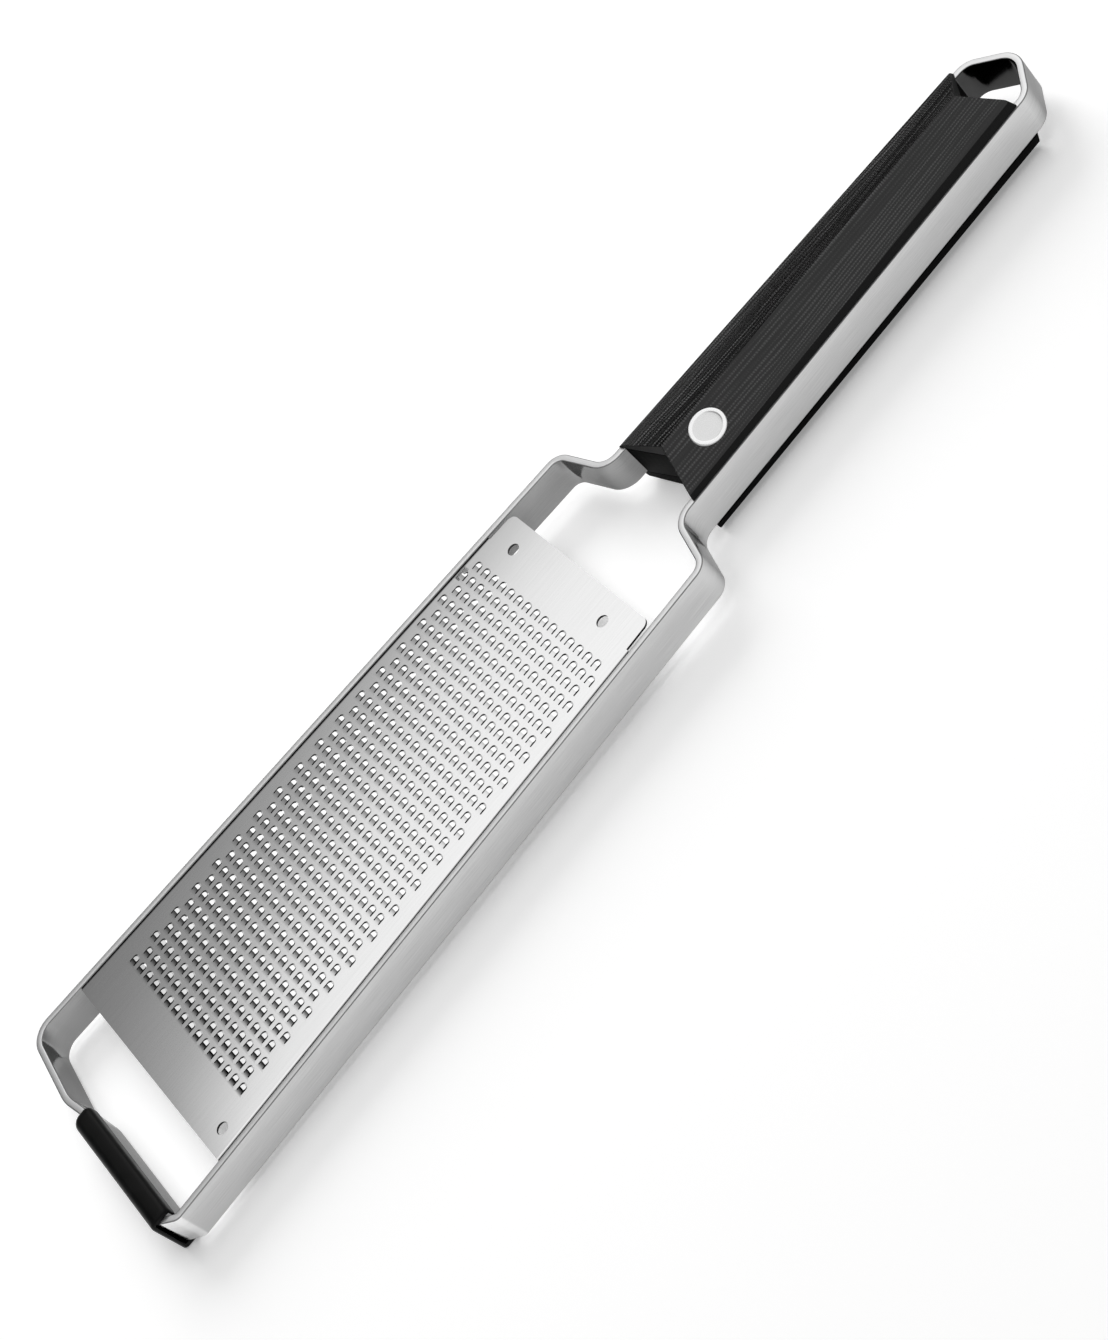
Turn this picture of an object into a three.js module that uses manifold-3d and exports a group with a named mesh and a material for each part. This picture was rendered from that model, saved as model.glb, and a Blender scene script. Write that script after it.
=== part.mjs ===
// Hand-held cheese grater: one flat steel strip is bent into a tapered frame, lapped at the tip,
// a toothed sheet-steel plate is set into it, and two black scales over a core make the handle.
// Millimetres. X runs from the tip to the hanging loop, Y across, Z up from the table.
import * as THREE from 'three';
import { mergeVertices } from 'three/addons/utils/BufferGeometryUtils.js';
import Module from 'manifold-3d';

// Clearance between neighbouring pieces.
const FIT = 0.2;

// Frame strip. Half widths are to its outer face, and radii to the middle of its thickness.
const STRIP_HEIGHT = 10;
const STRIP_THICKNESS = 1.8;
const STRIP_CHAMFER = 0.3;
const SIDE_LENGTH = 187.3;
const SIDE_HALF_TIP = 38.9;
const SIDE_HALF_SHOULDER = 31.2;
const SHOULDER_RUN = 4.5;
const RAIL_LENGTH = 123.8;
const RAIL_HALF_NEAR = 15.7;
const RAIL_HALF_FAR = 11.85;
const LOOP_RUN = 7.8;
const SHOULDER_RADIUS = 4.1;
const NECK_RADIUS = 5.5;
const LOOP_CORNER_RADIUS = 5;
const LOOP_APEX_RADIUS = 6;

// Tip of the frame: the left end steps in behind the right end, which stays outermost.
const LEFT_CORNER_RUN = 4.0;
const LEFT_CORNER_RADIUS = 5.5;
const RIGHT_CORNER_RUN = 4.8;
const RIGHT_CORNER_RISE = 3.55;
const RIGHT_CORNER_RADIUS = 2.2;
const JOGGLE_START = 4.5;
const JOGGLE_LENGTH = 10;
const JOGGLE_RADIUS = 12;
const LAP_GAP = 0.2;
const OUTER_LAP_SETBACK = 2.0;
const INNER_LAP_SETBACK = 1.7;

// Rubber foot sleeved over the lapped tip.
const RUBBER_WALL = 1.2;
const RUBBER_TOP = 1.3;
const RUBBER_BOTTOM = 1.5;
const RUBBER_LIP_THICKNESS = 0.6;
const RUBBER_LIP_DEPTH = 1.6;
const RUBBER_CROWN_RADIUS = 2.4;
const RUBBER_BROW_RADIUS = 1.4;
const RUBBER_EDGE = 0.6;
const RUBBER_LEFT_REACH = 2.2;
const RUBBER_RIGHT_REACH = 1.0;

// Grating plate with its side flanges.
const PLATE_THICKNESS = 0.6;
const PLATE_DROP = 0.2;
const PLATE_GAP = 0.3;
const TIP_WINDOW = 19.7;
const SHOULDER_WINDOW = 17.1;
const FLANGE_DEPTH = 7;
const FREE_EDGE_LENGTH = 7.9;
const FREE_EDGE_INSET = 0.7;
const PLATE_CORNER_RADIUS = 2;

// Openings of the teeth, in staggered rows.
const TOOTH_PITCH = 3.68;
const TOOTH_LENGTH = 2.2;
const TOOTH_WIDTH = 2.3;
const TOOTH_NOSE_WIDTH = 1.4;
const TEETH_FROM_TIP_EDGE = 14.4;
const TEETH_FROM_HANDLE_EDGE = 14.4;
const TEETH_FROM_SIDE_EDGE = 2.1;
const TEETH_SHIFT = 0.5;

// Round holes punched near the plate's ends.
const HOLE_RADIUS = 1.6;
const HANDLE_HOLE_INSET = 6.4;
const HANDLE_HOLE_LEFT = 20.7;
const HANDLE_HOLE_RIGHT = 17.7;
const TIP_HOLE_INSET = 5.3;
const TIP_HOLE_SIDE_INSET = 5.1;

// Handle scales and core, with V-notched ends. Heights are above and below the strip's edges.
const SCALE_NEAR_INSET = 5.5;
const SCALE_FAR_INSET = 3.0;
const NOTCH_NEAR = 5.3;
const NOTCH_FAR = 7.0;
const SHOULDER_EDGE_INSET = 1.2;
const SHOULDER_EDGE_NEAR = 1.15;
const SHOULDER_EDGE_FAR = 1.95;
const RIDGE_NEAR = 4.4;
const RIDGE_FAR = 6.0;
const LOWER_EDGE_INSET = 0.7;
const LOWER_EDGE_NEAR = 2.2;
const LOWER_EDGE_FAR = 2.9;
const LAND_HALF_NEAR = 4.9;
const LAND_HALF_FAR = 3.9;

// The grater lies on the foot and on a flat land under the handle: this is how much deeper that
// resting plane lies below the strip for each millimetre from the tip.
const REST_SLOPE = 0.01;

// Hidden dowel pins through the core, and the medallion in the right facet.
const PIN_RADIUS = 2;
const PIN_EMBED = 2;
const FRONT_PIN_INSET = 30;
const REAR_PIN_INSET = 24;
const MEDALLION_RADIUS = 4.75;
const MEDALLION_THICKNESS = 1.2;
const MEDALLION_PROUD = 0.35;
const MEDALLION_EDGE = 0.3;
const MEDALLION_INSET = 15.2;
const MEDALLION_SIDE = 6.2;

const Z_AXIS = new THREE.Vector3(0, 0, 1);
const ARC_STEP = Math.PI / 14;
const ROUND_SIDES = 24;

// Stations along X, worked out from the lengths.
const NECK_X = SIDE_LENGTH + SHOULDER_RUN;
const LOOP_X = NECK_X + RAIL_LENGTH;
const APEX_X = LOOP_X + LOOP_RUN;
const PLATE_START = TIP_WINDOW;
const PLATE_END = SIDE_LENGTH - SHOULDER_WINDOW;
const SCALE_START = NECK_X + SCALE_NEAR_INSET;
const SCALE_END = LOOP_X - SCALE_FAR_INSET;

// Half width to the outer face of the frame's sides and of the handle's rails.
const sideHalf = (x) => THREE.MathUtils.mapLinear(x, 0, SIDE_LENGTH, SIDE_HALF_TIP, SIDE_HALF_SHOULDER);
const railHalf = (x) => THREE.MathUtils.mapLinear(x, NECK_X, LOOP_X, RAIL_HALF_NEAR, RAIL_HALF_FAR);
const plateHalf = (x) => sideHalf(x) - STRIP_THICKNESS - PLATE_GAP;
const restZ = (x) => -FIT - RUBBER_BOTTOM - REST_SLOPE * x;

// Where the middle of the right end's strip turns from its corner bevel to the outer lap.
const BEVEL_Y = RIGHT_CORNER_RISE + STRIP_THICKNESS / 2 - sideHalf(RIGHT_CORNER_RUN);

const wasm = await Module();
wasm.setup();

// Solid for joining and cutting, from any closed geometry.
function toSolid(geometry) {
  const bare = geometry.clone();
  bare.deleteAttribute('normal');
  bare.deleteAttribute('uv');
  const merged = mergeVertices(bare, 1e-4);
  return new wasm.Manifold(new wasm.Mesh({
    numProp: 3,
    vertProperties: new Float32Array(merged.attributes.position.array),
    triVerts: new Uint32Array(merged.index.array),
  }));
}

function fromSolid(solid) {
  const mesh = solid.getMesh();
  const geometry = new THREE.BufferGeometry();
  geometry.setAttribute('position', new THREE.BufferAttribute(new Float32Array(mesh.vertProperties), 3));
  geometry.setIndex(new THREE.BufferAttribute(new Uint32Array(mesh.triVerts), 1));
  geometry.computeVertexNormals();
  return geometry;
}

// Closed geometry from corner points and triangles, turned so that its faces point out.
function closedGeometry(points, triangles) {
  let volume = 0;
  for (const [a, b, c] of triangles) {
    volume += points[a].dot(new THREE.Vector3().crossVectors(points[b], points[c]));
  }
  const outward = volume > 0 ? triangles : triangles.map(([a, b, c]) => [a, c, b]);
  const geometry = new THREE.BufferGeometry().setFromPoints(points);
  geometry.setIndex(outward.flat());
  geometry.computeVertexNormals();
  return geometry;
}

// Skin between rings with the same number of points, closed by the caps of its first and last ring.
function loft(rings, capTriangles) {
  const count = rings[0].length;
  const triangles = [];
  for (let r = 0; r + 1 < rings.length; r += 1) {
    for (let i = 0; i < count; i += 1) {
      const a = r * count + i;
      const b = r * count + ((i + 1) % count);
      triangles.push([a, b, b + count], [a, b + count, a + count]);
    }
  }
  const last = (rings.length - 1) * count;
  for (const [a, b, c] of capTriangles) {
    triangles.push([a, c, b], [last + a, last + b, last + c]);
  }
  return closedGeometry(rings.flat(), triangles);
}

// Path through corner points with rounded corners: each sample holds a point and its direction.
function roundedPath(corners) {
  const samples = [];
  corners.forEach((corner, i) => {
    const here = new THREE.Vector2(corner.x, corner.y);
    const before = corners[i - 1];
    const after = corners[i + 1];
    if (!before || !after) {
      const from = before ? new THREE.Vector2(before.x, before.y) : here;
      const to = after ? new THREE.Vector2(after.x, after.y) : here;
      samples.push({ point: here, direction: to.clone().sub(from).normalize() });
      return;
    }
    const incoming = here.clone().sub(before);
    const outgoing = new THREE.Vector2(after.x, after.y).sub(here);
    const room = 0.45 * Math.min(incoming.length(), outgoing.length());
    incoming.normalize();
    outgoing.normalize();
    const turn = Math.atan2(incoming.cross(outgoing), incoming.dot(outgoing));
    const tangent = Math.min(corner.radius * Math.tan(Math.abs(turn) / 2), room);
    const radius = tangent / Math.tan(Math.abs(turn) / 2);
    const start = here.clone().addScaledVector(incoming, -tangent);
    const inward = new THREE.Vector2(-incoming.y, incoming.x).multiplyScalar(Math.sign(turn) * radius);
    const center = start.clone().add(inward);
    const steps = Math.max(2, Math.ceil(Math.abs(turn) / ARC_STEP));
    for (let s = 0; s <= steps; s += 1) {
      const angle = (turn * s) / steps;
      const point = start.clone().rotateAround(center, angle);
      samples.push({ point, direction: incoming.clone().rotateAround(new THREE.Vector2(), angle) });
    }
  });
  return samples;
}

// Frame strip: middle of its thickness from the inner lap round the left side, loop and right side.
function frameStrip() {
  const middle = STRIP_THICKNESS / 2;
  const innerLapX = STRIP_THICKNESS + LAP_GAP + middle;
  const side = (x) => sideHalf(x) - middle;
  const rail = (x) => railHalf(x) - middle;
  const path = roundedPath([
    { x: innerLapX, y: BEVEL_Y + INNER_LAP_SETBACK },
    { x: innerLapX, y: JOGGLE_START, radius: JOGGLE_RADIUS },
    { x: middle, y: JOGGLE_START + JOGGLE_LENGTH, radius: JOGGLE_RADIUS },
    { x: LEFT_CORNER_RUN, y: side(LEFT_CORNER_RUN), radius: LEFT_CORNER_RADIUS },
    { x: SIDE_LENGTH, y: side(SIDE_LENGTH), radius: SHOULDER_RADIUS },
    { x: NECK_X, y: rail(NECK_X), radius: NECK_RADIUS },
    { x: LOOP_X, y: rail(LOOP_X), radius: LOOP_CORNER_RADIUS },
    { x: APEX_X, y: 0, radius: LOOP_APEX_RADIUS },
    { x: LOOP_X, y: -rail(LOOP_X), radius: LOOP_CORNER_RADIUS },
    { x: NECK_X, y: -rail(NECK_X), radius: NECK_RADIUS },
    { x: SIDE_LENGTH, y: -side(SIDE_LENGTH), radius: SHOULDER_RADIUS },
    { x: RIGHT_CORNER_RUN, y: -side(RIGHT_CORNER_RUN), radius: RIGHT_CORNER_RADIUS },
    { x: middle, y: BEVEL_Y, radius: RIGHT_CORNER_RADIUS },
    { x: middle, y: JOGGLE_START - OUTER_LAP_SETBACK },
  ]);
  const flat = middle - STRIP_CHAMFER;
  const section = [
    [-flat, 0],
    [flat, 0],
    [middle, STRIP_CHAMFER],
    [middle, STRIP_HEIGHT - STRIP_CHAMFER],
    [flat, STRIP_HEIGHT],
    [-flat, STRIP_HEIGHT],
    [-middle, STRIP_HEIGHT - STRIP_CHAMFER],
    [-middle, STRIP_CHAMFER],
  ];
  const rings = path.map(({ point, direction }) => section.map(([across, z]) => new THREE.Vector3(
    point.x - direction.y * across,
    point.y + direction.x * across,
    z,
  )));
  const caps = section.slice(2).map((corner, i) => [0, i + 1, i + 2]);
  return loft(rings, caps);
}

// Rubber foot: a sleeve over both laps with a rounded crown, open towards the window below a short lip,
// its bottom on the rest plane.
function rubberFoot() {
  const lapDepth = 2 * STRIP_THICKNESS + LAP_GAP;
  const outer = -FIT - RUBBER_WALL;
  const inner = lapDepth + FIT + RUBBER_LIP_THICKNESS;
  const top = STRIP_HEIGHT + FIT + RUBBER_TOP;
  const cavityTop = STRIP_HEIGHT + FIT;
  const lipEnd = STRIP_HEIGHT - RUBBER_LIP_DEPTH;
  const shape = new THREE.Shape();
  shape.moveTo(outer + RUBBER_EDGE, restZ(outer + RUBBER_EDGE));
  shape.lineTo(lapDepth, restZ(lapDepth));
  shape.lineTo(lapDepth, -FIT);
  shape.lineTo(-FIT, -FIT);
  shape.lineTo(-FIT, cavityTop);
  shape.lineTo(lapDepth + FIT, cavityTop);
  shape.lineTo(lapDepth + FIT, lipEnd);
  shape.lineTo(inner, lipEnd);
  shape.absarc(inner - RUBBER_BROW_RADIUS, top - RUBBER_BROW_RADIUS, RUBBER_BROW_RADIUS, 0, Math.PI / 2);
  shape.absarc(
    outer + RUBBER_CROWN_RADIUS, top - RUBBER_CROWN_RADIUS, RUBBER_CROWN_RADIUS, Math.PI / 2, Math.PI);
  shape.lineTo(outer, restZ(outer) + RUBBER_EDGE);
  const leftEnd = JOGGLE_START + RUBBER_LEFT_REACH;
  const rightEnd = BEVEL_Y - RUBBER_RIGHT_REACH;
  const geometry = new THREE.ExtrudeGeometry(shape, {
    depth: leftEnd - rightEnd,
    bevelEnabled: false,
    curveSegments: ROUND_SIDES / 4,
  });
  geometry.rotateX(Math.PI / 2);
  geometry.translate(0, leftEnd, 0);
  return geometry;
}

// Openings of the teeth: rows one pitch apart, every other row shifted by half a pitch.
function toothOpenings() {
  const firstX = PLATE_START + TEETH_FROM_TIP_EDGE;
  const lastX = PLATE_END - TEETH_FROM_HANDLE_EDGE;
  const rows = Math.floor((lastX - firstX) / TOOTH_PITCH) + 1;
  const reach = plateHalf(lastX) - TEETH_FROM_SIDE_EDGE - Math.abs(TEETH_SHIFT);
  const widest = Math.floor((2 * reach) / TOOTH_PITCH) + 1;
  const openings = [];
  for (let row = 0; row < rows; row += 1) {
    const count = widest - (row % 2);
    const x = firstX + row * TOOTH_PITCH;
    for (let i = 0; i < count; i += 1) {
      const y = TEETH_SHIFT + (i - (count - 1) / 2) * TOOTH_PITCH;
      openings.push(new THREE.Path([
        new THREE.Vector2(x - TOOTH_LENGTH / 2, y - TOOTH_WIDTH / 2),
        new THREE.Vector2(x - TOOTH_LENGTH / 2, y + TOOTH_WIDTH / 2),
        new THREE.Vector2(x + TOOTH_LENGTH / 2, y + TOOTH_NOSE_WIDTH / 2),
        new THREE.Vector2(x + TOOTH_LENGTH / 2, y - TOOTH_NOSE_WIDTH / 2),
      ]));
    }
  }
  return openings;
}

function roundOpening(x, y) {
  return new THREE.Path().absarc(x, y, HOLE_RADIUS, 0, 2 * Math.PI, true);
}

// Grating plate: a tapered sheet with a bent-down flange along each side of the frame.
function gratingPlate() {
  const top = STRIP_HEIGHT - PLATE_DROP;
  const jog = PLATE_END - FREE_EDGE_LENGTH;
  const freeHalf = (x) => plateHalf(x) - FREE_EDGE_INSET;
  const cornerX = PLATE_END - PLATE_CORNER_RADIUS;
  const sheet = new THREE.Shape();
  sheet.moveTo(PLATE_START, -plateHalf(PLATE_START));
  sheet.lineTo(jog, -plateHalf(jog));
  sheet.lineTo(jog, -freeHalf(jog));
  sheet.lineTo(cornerX, -freeHalf(cornerX));
  sheet.quadraticCurveTo(
    PLATE_END, -freeHalf(PLATE_END), PLATE_END, PLATE_CORNER_RADIUS - freeHalf(PLATE_END));
  sheet.lineTo(PLATE_END, freeHalf(PLATE_END) - PLATE_CORNER_RADIUS);
  sheet.quadraticCurveTo(PLATE_END, freeHalf(PLATE_END), cornerX, freeHalf(cornerX));
  sheet.lineTo(jog, freeHalf(jog));
  sheet.lineTo(jog, plateHalf(jog));
  sheet.lineTo(PLATE_START, plateHalf(PLATE_START));
  const tipHoleX = PLATE_START + TIP_HOLE_INSET;
  sheet.holes = [
    ...toothOpenings(),
    roundOpening(PLATE_END - HANDLE_HOLE_INSET, HANDLE_HOLE_LEFT),
    roundOpening(PLATE_END - HANDLE_HOLE_INSET, -HANDLE_HOLE_RIGHT),
    roundOpening(tipHoleX, TIP_HOLE_SIDE_INSET - plateHalf(tipHoleX)),
  ];
  const sheetGeometry = new THREE.ExtrudeGeometry(sheet, {
    depth: PLATE_THICKNESS,
    bevelEnabled: false,
    curveSegments: ROUND_SIDES / 4,
  });
  sheetGeometry.translate(0, 0, top - PLATE_THICKNESS);
  let solid = toSolid(sheetGeometry);
  for (const side of [-1, 1]) {
    const flange = new THREE.Shape([
      new THREE.Vector2(PLATE_START, side * plateHalf(PLATE_START)),
      new THREE.Vector2(jog, side * plateHalf(jog)),
      new THREE.Vector2(jog, side * (plateHalf(jog) - PLATE_THICKNESS)),
      new THREE.Vector2(PLATE_START, side * (plateHalf(PLATE_START) - PLATE_THICKNESS)),
    ]);
    const depth = FLANGE_DEPTH - PLATE_THICKNESS / 2;
    const flangeGeometry = new THREE.ExtrudeGeometry(flange, { depth, bevelEnabled: false });
    flangeGeometry.translate(0, 0, top - FLANGE_DEPTH);
    solid = solid.add(toSolid(flangeGeometry));
  }
  return fromSolid(solid);
}

// Point of the handle's V-notched end at a share of the half width, 1 at the rail and 0 at the notch.
function endPoint(end, half, z) {
  const near = end === 'near';
  const corner = near ? SCALE_START : SCALE_END;
  const notch = near ? NOTCH_NEAR : -NOTCH_FAR;
  const x = corner + notch * (1 - Math.abs(half) / railHalf(corner));
  return new THREE.Vector3(x, half, typeof z === 'function' ? z(x) : z);
}

// Ring round one end of a handle piece, from half-section corners given from its outside to its middle.
function endRing(end, corners) {
  const left = corners.map(([half, z]) => endPoint(end, half, z));
  const right = corners.slice(1, -1).reverse().map(([half, z]) => endPoint(end, -half, z));
  return [...left, ...right];
}

// Handle piece between its near and far half sections, whose first and last corners lie in the middle.
function handlePiece(nearCorners, farCorners) {
  const rings = [endRing('near', nearCorners), endRing('far', farCorners)];
  const count = rings[0].length;
  const half = nearCorners.length;
  const caps = [];
  for (let i = 1; i + 1 < half; i += 1) {
    caps.push([0, i, i + 1]);
    caps.push([0, (count - i - 1) % count, count - i]);
  }
  return loft(rings, caps);
}

// Cylinder standing on Z between two heights.
function upright(radius, low, high, x, y) {
  const geometry = new THREE.CylinderGeometry(radius, radius, high - low, ROUND_SIDES);
  geometry.rotateX(Math.PI / 2);
  geometry.translate(x, y, (low + high) / 2);
  return geometry;
}

const pinStations = [SCALE_START + FRONT_PIN_INSET, SCALE_END - REAR_PIN_INSET];

function drillForPins(geometry) {
  const low = -FIT - PIN_EMBED - FIT;
  const high = STRIP_HEIGHT + FIT + PIN_EMBED + FIT;
  let solid = toSolid(geometry);
  for (const x of pinStations) {
    solid = solid.subtract(toSolid(upright(PIN_RADIUS + FIT, low, high, x, 0)));
  }
  return solid;
}

// Upper scale: a low roof of two facets along a centre ridge, over a steep shoulder on each side.
const upperBase = STRIP_HEIGHT + FIT;

function upperHalfSection(corner, edge, ridge) {
  return [
    [0, upperBase],
    [railHalf(corner), upperBase],
    [railHalf(corner) - SHOULDER_EDGE_INSET, STRIP_HEIGHT + edge],
    [0, STRIP_HEIGHT + ridge],
  ];
}

// Seat of the medallion: a point on the right facet and the facet's normal there.
function medallionSeat() {
  const x = SCALE_START + MEDALLION_INSET;
  const span = (near, far) => THREE.MathUtils.mapLinear(x, SCALE_START, SCALE_END, near, far);
  const ridge = span(RIDGE_NEAR, RIDGE_FAR);
  const edge = span(SHOULDER_EDGE_NEAR, SHOULDER_EDGE_FAR);
  const fall = (ridge - edge) / (railHalf(x) - SHOULDER_EDGE_INSET);
  const climb = (RIDGE_FAR - RIDGE_NEAR) / (SCALE_END - SCALE_START);
  const point = new THREE.Vector3(x, -MEDALLION_SIDE, STRIP_HEIGHT + ridge - fall * MEDALLION_SIDE);
  return { point, normal: new THREE.Vector3(-climb, -fall, 1).normalize() };
}

function upperScale() {
  const geometry = handlePiece(
    upperHalfSection(SCALE_START, SHOULDER_EDGE_NEAR, RIDGE_NEAR),
    upperHalfSection(SCALE_END, SHOULDER_EDGE_FAR, RIDGE_FAR),
  );
  const seat = medallionSeat();
  const sunk = MEDALLION_THICKNESS - MEDALLION_PROUD + FIT;
  const pocket = upright(MEDALLION_RADIUS + FIT, -sunk, MEDALLION_THICKNESS, 0, 0);
  pocket.applyQuaternion(new THREE.Quaternion().setFromUnitVectors(Z_AXIS, seat.normal));
  pocket.translate(seat.point.x, seat.point.y, seat.point.z);
  return fromSolid(drillForPins(geometry).subtract(toSolid(pocket)));
}

// Lower scale: shallower facets, cut off flat where the handle lies on the table.
function lowerHalfSection(corner, edge, landHalf) {
  return [
    [0, -FIT],
    [railHalf(corner), -FIT],
    [railHalf(corner) - LOWER_EDGE_INSET, -edge],
    [landHalf, restZ],
    [0, restZ],
  ];
}

function lowerScale() {
  return fromSolid(drillForPins(handlePiece(
    lowerHalfSection(SCALE_START, LOWER_EDGE_NEAR, LAND_HALF_NEAR),
    lowerHalfSection(SCALE_END, LOWER_EDGE_FAR, LAND_HALF_FAR),
  )));
}

// Core: fills the handle between the rails.
function handleCore() {
  const halfSection = (corner) => {
    const half = railHalf(corner) - STRIP_THICKNESS - FIT;
    return [[0, 0], [half, 0], [half, STRIP_HEIGHT], [0, STRIP_HEIGHT]];
  };
  return fromSolid(drillForPins(handlePiece(halfSection(SCALE_START), halfSection(SCALE_END))));
}

function dowelPin(x) {
  return upright(PIN_RADIUS, -FIT - PIN_EMBED, STRIP_HEIGHT + FIT + PIN_EMBED, x, 0);
}

// Medallion: a plain disc with an eased rim, modelled about its own axis.
function medallionDisc() {
  const low = MEDALLION_PROUD - MEDALLION_THICKNESS;
  return new THREE.LatheGeometry([
    new THREE.Vector2(0, low),
    new THREE.Vector2(MEDALLION_RADIUS, low),
    new THREE.Vector2(MEDALLION_RADIUS, MEDALLION_PROUD - MEDALLION_EDGE),
    new THREE.Vector2(MEDALLION_RADIUS - MEDALLION_EDGE, MEDALLION_PROUD),
    new THREE.Vector2(0, MEDALLION_PROUD),
  ], ROUND_SIDES).rotateX(Math.PI / 2);
}

const steel = { color: 0xb9bcc0, metalness: 1, roughness: 0.32 };
const plateSteel = { color: 0xd4d6d8, metalness: 1, roughness: 0.25 };
const black = { color: 0x1b1b1d, metalness: 0, roughness: 0.5 };
const rubber = { color: 0x111112, metalness: 0, roughness: 0.6 };
const polished = { color: 0xd9dadc, metalness: 1, roughness: 0.15 };

function named(name, geometry, finish) {
  const mesh = new THREE.Mesh(geometry, new THREE.MeshStandardMaterial(finish));
  mesh.name = name;
  return mesh;
}

const seat = medallionSeat();
const medallion = named('medallion', medallionDisc(), polished);
medallion.position.copy(seat.point);
medallion.quaternion.setFromUnitVectors(Z_AXIS, seat.normal);

// Everything is modelled with the strip level, then leaned so that foot and handle lie on the table.
const lying = new THREE.Group();
lying.rotation.y = -Math.atan(REST_SLOPE);
lying.add(
  named('frame_strip', frameStrip(), steel),
  named('grating_plate', gratingPlate(), plateSteel),
  named('rubber_foot', rubberFoot(), rubber),
  named('handle_core', handleCore(), black),
  named('upper_handle_scale', upperScale(), black),
  named('lower_handle_scale', lowerScale(), black),
  named('handle_pin_front', dowelPin(pinStations[0]), steel),
  named('handle_pin_rear', dowelPin(pinStations[1]), steel),
  medallion,
);

// Origin: on the table, in the middle of the length, on the centre line of the frame.
const box = new THREE.Box3().setFromObject(lying, true);
lying.position.set(-(box.min.x + box.max.x) / 2, 0, -box.min.z);

const grater = new THREE.Group();
grater.add(lying);

export default grater;
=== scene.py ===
import math

import bmesh
import bpy
from mathutils import Matrix, Quaternion, Vector


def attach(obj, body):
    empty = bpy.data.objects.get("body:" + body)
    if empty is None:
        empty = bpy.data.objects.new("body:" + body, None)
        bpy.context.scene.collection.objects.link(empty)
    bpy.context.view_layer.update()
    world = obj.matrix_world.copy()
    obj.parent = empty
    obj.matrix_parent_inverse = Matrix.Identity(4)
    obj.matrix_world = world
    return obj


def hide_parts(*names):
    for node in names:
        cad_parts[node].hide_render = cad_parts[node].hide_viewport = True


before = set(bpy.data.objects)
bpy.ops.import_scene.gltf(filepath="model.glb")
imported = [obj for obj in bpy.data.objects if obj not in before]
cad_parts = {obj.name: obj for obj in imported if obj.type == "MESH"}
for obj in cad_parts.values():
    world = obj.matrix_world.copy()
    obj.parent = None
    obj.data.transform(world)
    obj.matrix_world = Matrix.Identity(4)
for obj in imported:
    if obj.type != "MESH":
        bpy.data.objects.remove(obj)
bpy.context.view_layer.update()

# Frame strip: one flat bar of stainless steel, brushed along its length and bent on its flat.
# It runs from the inner lap at the tip round the left side, the shoulders, the handle's rails and
# the hanging loop, and comes back along the right side to the outer lap.
mm = 0.001
strip_height = 10 * mm
strip_thickness = 1.8 * mm
half_strip = strip_thickness / 2
strip_edge = 0.32 * mm
side_length = 187.3 * mm
tip_half = 38.9 * mm
shoulder_half = 31.2 * mm
neck_x = side_length + 4.5 * mm
neck_half = 15.7 * mm
loop_x = neck_x + 123.8 * mm
loop_half = 11.85 * mm
apex_x = loop_x + 7.8 * mm
left_corner_x = 4.0 * mm
right_corner_x = 4.8 * mm
right_bevel = 3.55 * mm
joggle_start = 4.5 * mm
joggle_end = 14.5 * mm
lap_gap = 0.2 * mm
inner_lap_x = strip_thickness + lap_gap + half_strip
inner_lap_short = 1.7 * mm
outer_lap_end = joggle_start - 2 * mm
joggle_bend = 12 * mm
left_corner_bend = 5.5 * mm
right_corner_bend = 2.2 * mm
shoulder_bend = 4.1 * mm
neck_bend = 5.5 * mm
loop_bend = 5 * mm
apex_bend = 6 * mm
bend_steps = 14
edge_steps = 4

# Every piece is drawn with the strip level, X from the tip and Z from the strip's lower edge, and is
# then laid on the table, where the grater rests on its foot and on the underside of the handle.
rest_slope = 0.01
tip_x = -160.712 * mm
strip_lift = 1.7 * mm
lying = Matrix.Translation((tip_x, 0, strip_lift)) @ Matrix.Rotation(-math.atan(rest_slope), 4, "Y")


def between(x, x0, x1, a, b):
    """Height at x of the straight line from a at x0 to b at x1."""
    return a + (b - a) * (x - x0) / (x1 - x0)


def placed(name, data):
    """New object in the scene, at the origin."""
    made = bpy.data.objects.new(name, data)
    bpy.context.scene.collection.objects.link(made)
    return made


def show(name, mesh, material, cad_node, sharp_angle):
    """Lays a finished mesh on the table as a piece that stands for one node of the frame."""
    mesh.transform(lying)
    mesh.materials.clear()
    mesh.materials.append(material)
    mesh.shade_smooth()
    mesh.set_sharp_from_angle(angle=math.radians(sharp_angle))
    piece = placed(name, mesh)
    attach(piece, "root")
    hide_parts(cad_node)


def evaluated_mesh(mesh, kind, settings):
    """Runs one modifier on a mesh and returns the plain result."""
    carrier = placed("carrier", mesh)
    modifier = carrier.modifiers.new(kind.title(), kind)
    for key, value in settings.items():
        if key.startswith("Socket"):
            modifier[key] = value
        else:
            setattr(modifier, key, value)
    depsgraph = bpy.context.evaluated_depsgraph_get()
    result = bpy.data.meshes.new_from_object(carrier.evaluated_get(depsgraph), depsgraph=depsgraph)
    bpy.data.objects.remove(carrier)
    return result


def set_up(tree, made, **settings):
    """Fills a node's inputs, named with _ for a space, from outputs or values, and sets its properties."""
    for key, value in settings.items():
        label = key.replace("_", " ")
        if label not in made.inputs:
            setattr(made, key, value)
        elif isinstance(value, bpy.types.NodeSocket):
            tree.links.new(value, made.inputs[label])
        else:
            made.inputs[label].default_value = value


def node(tree, kind, **settings):
    """Adds one node to a tree."""
    made = tree.nodes.new(kind)
    set_up(tree, made, **settings)
    return made


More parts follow.
